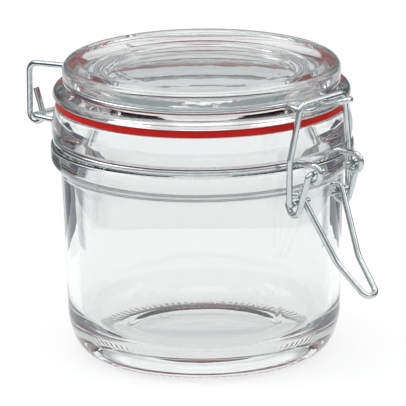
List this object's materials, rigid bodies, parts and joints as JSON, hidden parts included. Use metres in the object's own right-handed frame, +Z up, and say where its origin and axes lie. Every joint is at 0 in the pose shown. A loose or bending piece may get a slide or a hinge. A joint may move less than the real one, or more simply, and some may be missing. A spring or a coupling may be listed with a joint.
{
  "type": "clip-top glass jar",
  "caption": "Round clear glass storage jar with a hinged glass lid, a flat rubber sealing ring and a wire bail clip that clamps the lid at the front.",
  "frame": {"origin": "centre of the jar's base, on the jar's axis, at the height of the ring that it stands on", "axes": "+Z up along the jar's axis, +X towards the latch, the lid's hinge at -X"},
  "size_m": [0.1375, 0.0988, 0.0966],
  "materials": {
    "jar_glass": "clear pressed soda-lime glass",
    "lid_glass": "clear pressed soda-lime glass",
    "red_rubber": "matt moulded red rubber",
    "steel_wire": "bright zinc-plated drawn wire"
  },
  "bodies": {
    "jar": {"glass_jar": "jar_glass", "neck_wire": "steel_wire"},
    "lid": {"glass_lid": "lid_glass", "sealing_ring": "red_rubber", "lid_wire": "steel_wire", "latch_tongue": "steel_wire"},
    "lever": {"latch_lever": "steel_wire"},
    "link": {"closing_link": "steel_wire"}
  },
  "joints": [
    {"name": "lid_hinge", "type": "hinge", "parent": "jar", "child": "lid", "pos_m": [-0.0602, 0, 0.0714], "axis": [0, -1, 0], "range_deg": [0, 105]},
    {"name": "lever_pivot", "type": "hinge", "parent": "jar", "child": "lever", "pos_m": [0.0564, 0, 0.07], "axis": [0, -1, 0], "range_deg": [0, 150], "deforming": ["latch_tongue"]},
    {"name": "link_pivot", "type": "hinge", "parent": "lever", "child": "link", "pos_m": [0.04995, 0, 0.0593], "axis": [0, -1, 0], "range_deg": [-135, 0]}
  ],
  "couplings": [
    {"joint": "link_pivot", "follows": "lever_pivot", "ratio": -0.9}
  ]
}
